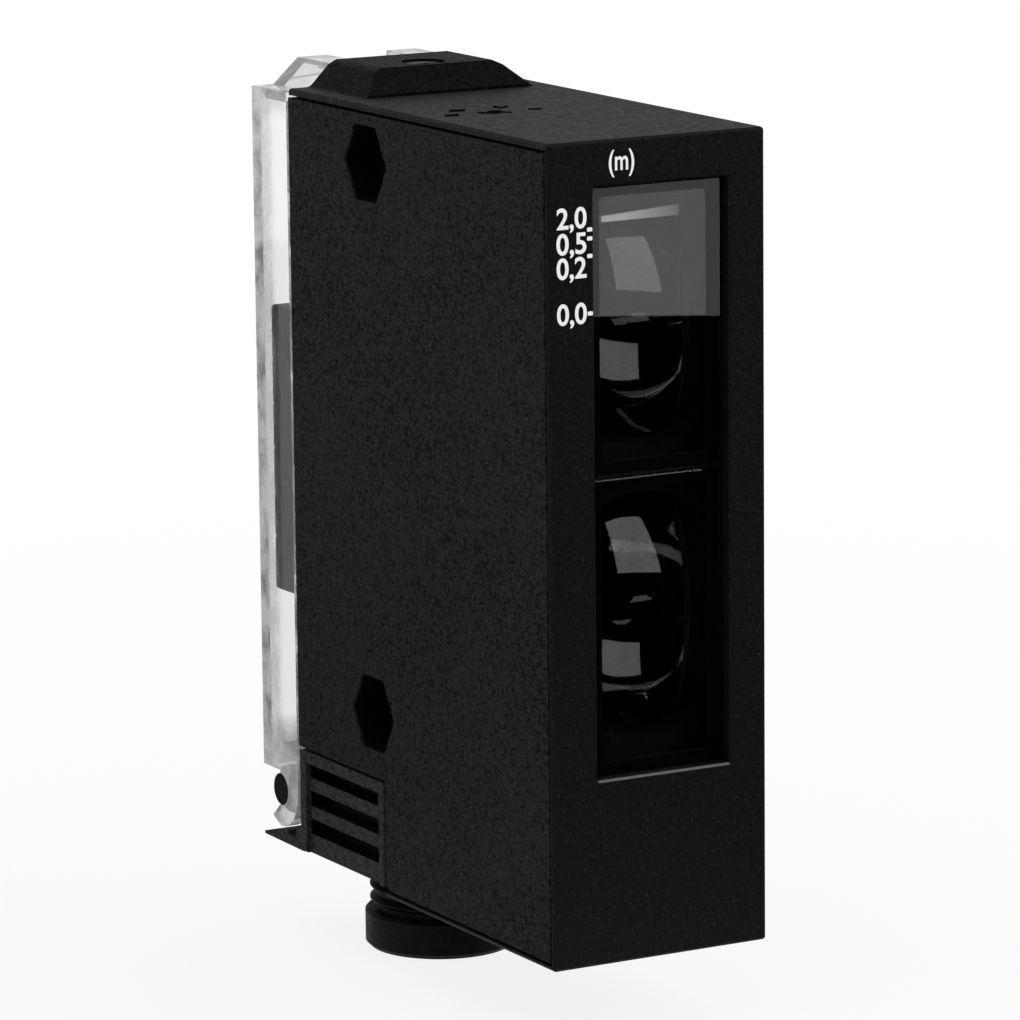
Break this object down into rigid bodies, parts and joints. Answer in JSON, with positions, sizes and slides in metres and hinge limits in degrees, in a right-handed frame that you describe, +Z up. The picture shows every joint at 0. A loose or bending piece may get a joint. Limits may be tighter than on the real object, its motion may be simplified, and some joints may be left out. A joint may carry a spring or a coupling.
{
  "type": "diffuse photoelectric sensor",
  "caption": "Box-shaped black light sensor with a tall two-pane window, distance scale with pointer, top adjuster, clear hinged terminal cover and cable gland.",
  "frame": {"origin": "middle between the two M5 fixing holes, in the middle of the body's width", "axes": "+Z up, along the line of the fixing holes; -Y towards the target, out of the window; +X along the fixing holes, to the right as seen from the front"},
  "size_m": [0.0258, 0.0656, 0.0982],
  "materials": {
    "housing_plastic": "black moulded plastic with a fine spark-eroded grain",
    "cap_plastic": "black moulded plastic, matt",
    "window_glass": "clear flat glass with a black printed rim",
    "inner_plastic": "deep black, dull",
    "screw_steel": "zinc-plated steel",
    "lens_clear": "clear moulded lens, polished",
    "led_epoxy": "tinted clear epoxy",
    "board_laminate": "green solder mask",
    "ribbon_film": "flat film lead",
    "diode_black": "black epoxy",
    "pointer_white": "white painted front",
    "spindle_brass": "turned brass",
    "seal_rubber": "black rubber",
    "relay_plastic": "light grey case",
    "capacitor_sleeve": "shrunk sleeve",
    "light_lens": "diffuse clear light",
    "terminal_plastic": "dark grey moulded plastic",
    "clamp_metal": "plated brass",
    "cover_clear": "clear moulded plastic, polished, slightly hazy edges",
    "pin_plastic": "black moulded plastic",
    "gland_plastic": "black moulded plastic, satin"
  },
  "bodies": {
    "base": {"housing": "housing_plastic", "side_cover": "housing_plastic", "entry_block": "housing_plastic", "top_cap": "cap_plastic", "upper_window": "window_glass", "lower_window": "window_glass", "optics_carrier": "inner_plastic", "carrier_screws": "screw_steel", "receiver_lens": "lens_clear", "emitter_lens": "lens_clear", "emitter_led": "led_epoxy", "emitter_board": "board_laminate", "emitter_ribbon": "ribbon_film", "guide_rod": "screw_steel", "spindle_bush": "spindle_brass", "spindle_seal": "seal_rubber", "main_board": "board_laminate", "board_screws": "screw_steel", "output_relay": "relay_plastic", "filter_capacitors": "capacitor_sleeve", "control_chips": "diode_black", "status_lights": "light_lens", "terminal_block": "terminal_plastic", "terminal_screws": "screw_steel", "terminal_clamps": "clamp_metal", "hinge_pin": "pin_plastic", "gland_screw": "gland_plastic", "gland_washer": "screw_steel", "gland_seal": "seal_rubber"},
    "cover": {"clear_cover": "cover_clear"},
    "spindle": {"range_spindle": "spindle_brass", "spindle_clip": "screw_steel"},
    "carriage": {"adjusting_carriage": "inner_plastic", "receiver_diode": "diode_black", "range_pointer": "pointer_white"}
  },
  "joints": [
    {"name": "cover_hinge", "type": "hinge", "parent": "base", "child": "cover", "pos_m": [0, 0.0223, -0.0429], "axis": [-1, 0, 0], "range_deg": [0, 95]},
    {"name": "range_turn", "type": "hinge", "parent": "base", "child": "spindle", "pos_m": [0, 0.0104, 0.0363], "axis": [0, 0, 1], "range_deg": [0, 2476.8]},
    {"name": "pointer_slide", "type": "slide", "parent": "base", "child": "carriage", "axis": [0, 0, 1], "range_m": [-0.0086, 0]}
  ],
  "couplings": [
    {"joint": "range_turn", "follows": "pointer_slide", "rad_per_m": -5026.5}
  ]
}
